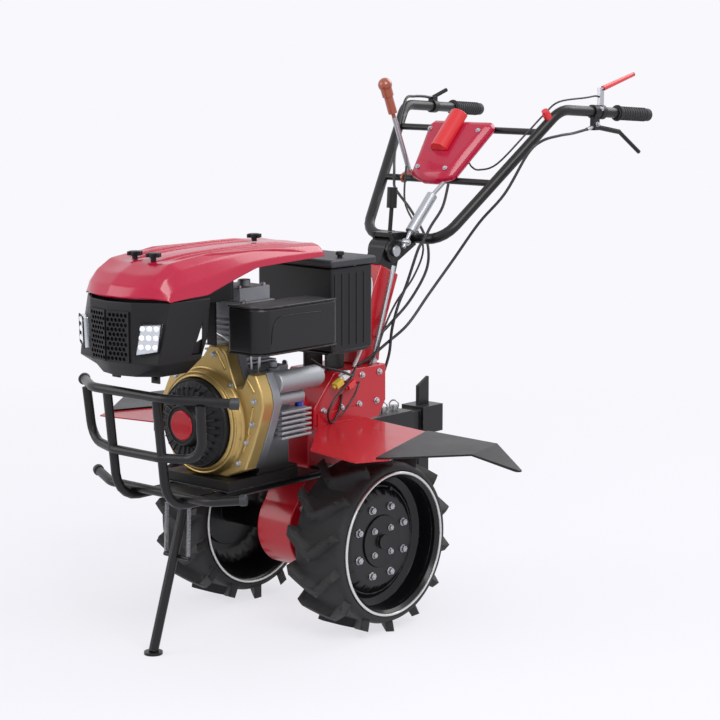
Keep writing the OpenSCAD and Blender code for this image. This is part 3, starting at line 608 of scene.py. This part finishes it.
recoil = Shape()
SPOKES = 28
for k in range(SPOKES):
    a = 2 * math.pi * k / SPOKES
    c, s = math.cos(a), math.sin(a)
    recoil.rod((52 * c, -351, CRANK_Z + 52 * s), (80 * c, -348.6, CRANK_Z + 80 * s), 2.6, sides=8)
recoil.hoop((0, -370, CRANK_Z), (0, 1, 0), 41, 2.2)
recoil.hoop((0, -334.2, CRANK_Z), (0, 1, 0), 93, 2.0)
recoil.done("recoil_grid", plastic, "chassis")
cap = Shape()
cap.rod((0, -370.2, CRANK_Z), (0, -373.4, CRANK_Z), 33, 30, sides=48)
cap.done("recoil_cap", red, "chassis", 0.0008)

# Rocker cover's bolts, fuel pipes, injection pump and the muffler's seams
cover = Shape()
for x in (-36, 36):
    for y in (-230, -156):
        cover.bolt((x, y, 766), (0, 0, 1), 5, 4)
cover.done("rocker_bolts", steel, "chassis")
pipes = Shape()
pipes.tube(curve_through([(60, -226, 700), (96, -240, 690), (116, -252, 650), (116, -252, 612),
                          (108, -246, 570)]), 3.2)
pipes.tube(curve_through([(40, -232, 735), (74, -250, 742), (92, -262, 720), (98, -262, 660),
                          (100, -258, 600)]), 2.6)
pipes.tube(curve_through([(-30, -330, 752), (-40, -322, 720), (-20, -300, 690), (10, -270, 668),
                          (30, -250, 650)]), 4.0)
pipes.done("fuel_pipes", steel, "chassis")
pump = Shape()
pump.rod((112, -206, 560), (112, -206, 600), 13)
pump.rod((112, -206, 600), (112, -206, 614), 9)
pump.box((106, -196, 540), (128, -160, 566))
pump.rod((128, -178, 553), (142, -178, 553), 7)
pump.done("injection_pump", alloy, "chassis", 0.002)

seams = Shape()
rail = [(107, -334), (165, -334.6), (184, -329), (196, -316), (MUFFLER_SIDE, -300), (MUFFLER_SIDE, -240),
        (MUFFLER_SIDE, -160), (MUFFLER_SIDE, -102)]
for z in (MUFFLER_TOP, MUFFLER_FOOT):
    seams.tube([mm((x, y, z)) for x, y in rail], 1.8, 8)
swirl = [(200.4, -300, 668), (200.4, -296, 700), (200.4, -284, 718), (200.4, -262, 724), (200.4, -190, 724),
         (200.4, -150, 722)]
seams.tube(curve_through(swirl), 1.5, 8)
seams.done("muffler_seams", black, "chassis")

# Battery lid's knob and the box's ribs
knob = Shape()
knob.rod((92, 30, 814), (92, 30, 820), 6)
knob.rod((92, 30, 820), (92, 30, 828), 10, 9)
knob.done("lid_knob", plastic, "chassis", 0.001)
ribbing = Shape()
for y in range(-10, 110, 24):
    ribbing.box((111.6, y, 620), (113.2, y + 5, 780))
for x in range(-96, 100, 32):
    ribbing.box((x, 115.8, 620), (x + 5, 117.2, 780))
ribbing.done("battery_ribs", plastic, "chassis", 0.0005)

# Bumper: end caps
ends = Shape()
for side in (1, -1):
    ends.rod((side * 222, -448, 566.4), (side * 236, -433, 565.4), 12.4)
    ends.rod((side * 217, -414, 359.4), (side * 229, -406.6, 360.6), 12)
ends.done("bumper_caps", grey, "chassis", 0.002)

# Lamp housing: straps below it
strap = Shape()
for side in (1, -1):
    strap.box((side * 60 - 12, -500, 596), (side * 60 + 12, -496, 660))
    strap.bolt((side * 60, -500.2, 606), (0, -1, 0), 5, 4)
strap.done("housing_straps", black, "chassis", 0.001)

# Handlebar: ribs on the grips
grips = Shape()
for side in (1, -1):
    for k in range(11):
        y = 860 + 9.5 * k
        f = (y - ARM_START[1]) / ARM_WAY[1]
        at = (side * (ARM_START[0] + ARM_WAY[0] * f), y, ARM_START[2] + ARM_WAY[2] * f)
        grips.hoop(at, (side * ARM_WAY[0], ARM_WAY[1], ARM_WAY[2]), 15.6, 1.5, parts=28)
    grips.hoop((side * 256.4, 852, 1109.8), (side * ARM_WAY[0], ARM_WAY[1], ARM_WAY[2]), 17.5, 2.4, parts=32)
grips.done("grip_ribs", grip, "handlebar")

# Handlebar: the shift sleeve's clip, fittings of the levers, gear rod and the panel's screws
clip = Shape()
clip.rod((29.6, 306, 824), (58, 306, 824), 4.5)
clip.rod((43, 306, 824), (56, 306, 824), 8.5)
clip.bolt((56, 306, 824), (1, 0, 0), 5, 4)
clip.done("sleeve_clip", steel, "handlebar", 0.0006)
lever = Shape()
lever.bolt((262, 776, 1122), (1, 0, 0), 5, 5)
lever.bolt((257.8, 768, 1086), (1, 0, 0), 5, 5)
lever.rod((251, 758.5, 1079), (252, 734, 1075), 4.6)
lever.box((246.2, 782.2, 1129), (255.6, 797.8, 1172.4))
lever.rod((-254, 762, 1130), (-254, 762, 1142), 7)
lever.done("lever_screws", steel, "handlebar", 0.0005)
paint = Shape()
paint.rod((251.2, 798, 1170.1), (255.9, 917, 1201.2), 6.4, 5.2)
paint.ball((255.9, 917, 1201.2), 5.2)
paint.done("red_lever_sleeve", red_plastic, "handlebar")
gear = Shape()
gear.rod((-104.2, 498, 974), (-111.4, 450, 1102), 6)
gear.done("gear_rod", steel, "handlebar")
panel = Shape()
bm = bmesh.new()
bm.from_mesh(NODES["control_panel"].data)
face = BVHTree.FromBMesh(bm)
bm.free()
out_of = Vector((0, -0.714, 0.7))
for x, y, z in ((-42, 472, 972), (42, 472, 972), (74, 556, 1058), (-74, 556, 1058)):
    hit = face.ray_cast(mm((x, y, z)) + out_of * 0.1, -out_of)[0]
    if hit is not None:
        panel.bolt(hit * 1000, out_of, 5, 3)
panel.done("panel_screws", steel, "handlebar", 0.0004)

# Stand: the springs stay CAD nodes, which stretch, with the coils in their material
NODES["stand_springs"].data.materials.clear()
NODES["stand_springs"].data.materials.append(coil)


# Floor, world and lights

PALE = srgb(249, 248, 253)


def shown_rays(tree):
    """1 for the rays that see the plain background: camera, mirror and glass rays."""
    path = tree.nodes.new("ShaderNodeLightPath")
    mirror = tree.nodes.new("ShaderNodeMath")
    mirror.operation = "MAXIMUM"
    glass = tree.nodes.new("ShaderNodeMath")
    glass.operation = "MAXIMUM"
    tree.links.new(path.outputs["Is Camera Ray"], mirror.inputs[0])
    tree.links.new(path.outputs["Is Glossy Ray"], mirror.inputs[1])
    tree.links.new(mirror.outputs["Value"], glass.inputs[0])
    tree.links.new(path.outputs["Is Transmission Ray"], glass.inputs[1])
    return glass.outputs["Value"]


bpy.ops.mesh.primitive_plane_add(size=120.0, location=(0, 0, -0.0005))
floor = bpy.context.object
floor.name = "floor"
floor_mat = bpy.data.materials.new("pale_floor")
floor_mat.use_nodes = True
tree = floor_mat.node_tree
tree.nodes.clear()
out = tree.nodes.new("ShaderNodeOutputMaterial")
matt = tree.nodes.new("ShaderNodeBsdfDiffuse")
matt.inputs["Color"].default_value = srgb(236, 235, 240)
shine = tree.nodes.new("ShaderNodeEmission")
shine.inputs["Color"].default_value = PALE
mix = tree.nodes.new("ShaderNodeMixShader")
share = tree.nodes.new("ShaderNodeMath")
share.operation = "MULTIPLY"
spot = tree.nodes.new("ShaderNodeTexCoord")
away = tree.nodes.new("ShaderNodeVectorMath")
away.operation = "LENGTH"
# Near the object the floor keeps its shadow; further off it fades into the plain background
fade = tree.nodes.new("ShaderNodeMapRange")
fade.inputs["From Min"].default_value = 0.9
fade.inputs["From Max"].default_value = 3.2
fade.inputs["To Min"].default_value = 0.72
tree.links.new(spot.outputs["Object"], away.inputs[0])
tree.links.new(away.outputs["Value"], fade.inputs["Value"])
tree.links.new(shown_rays(tree), share.inputs[0])
tree.links.new(fade.outputs["Result"], share.inputs[1])
tree.links.new(share.outputs["Value"], mix.inputs["Fac"])
tree.links.new(matt.outputs["BSDF"], mix.inputs[1])
tree.links.new(shine.outputs["Emission"], mix.inputs[2])
tree.links.new(mix.outputs["Shader"], out.inputs["Surface"])
floor.data.materials.append(floor_mat)

world = bpy.data.worlds.new("studio")
bpy.context.scene.world = world
world.use_nodes = True
tree = world.node_tree
tree.nodes.clear()
out = tree.nodes.new("ShaderNodeOutputWorld")
seen = tree.nodes.new("ShaderNodeBackground")
seen.inputs["Color"].default_value = PALE
lit = tree.nodes.new("ShaderNodeBackground")
lit.inputs["Color"].default_value = (0.92, 0.95, 1.0, 1.0)
lit.inputs["Strength"].default_value = 0.55
mix = tree.nodes.new("ShaderNodeMixShader")
tree.links.new(shown_rays(tree), mix.inputs["Fac"])
tree.links.new(lit.outputs["Background"], mix.inputs[1])
tree.links.new(seen.outputs["Background"], mix.inputs[2])
tree.links.new(mix.outputs["Shader"], out.inputs["Surface"])


def lamp_at(name, place, aim, size, watts):
    """A square lamp that faces the point aim."""
    data = bpy.data.lights.new(name, "AREA")
    data.size = size
    data.energy = watts
    obj = bpy.data.objects.new(name, data)
    obj.location = place
    obj.rotation_euler = (Vector(aim) - Vector(place)).to_track_quat("-Z", "Y").to_euler()
    bpy.context.collection.objects.link(obj)


lamp_at("key", (2.6, -1.4, 3.2), (0, 0, 0.6), 2.2, 95.0)
lamp_at("fill", (-2.2, -3.2, 2.2), (0, 0, 0.6), 2.6, 55.0)
lamp_at("rim", (0.5, 3.0, 3.0), (0, 0, 0.7), 2.4, 60.0)
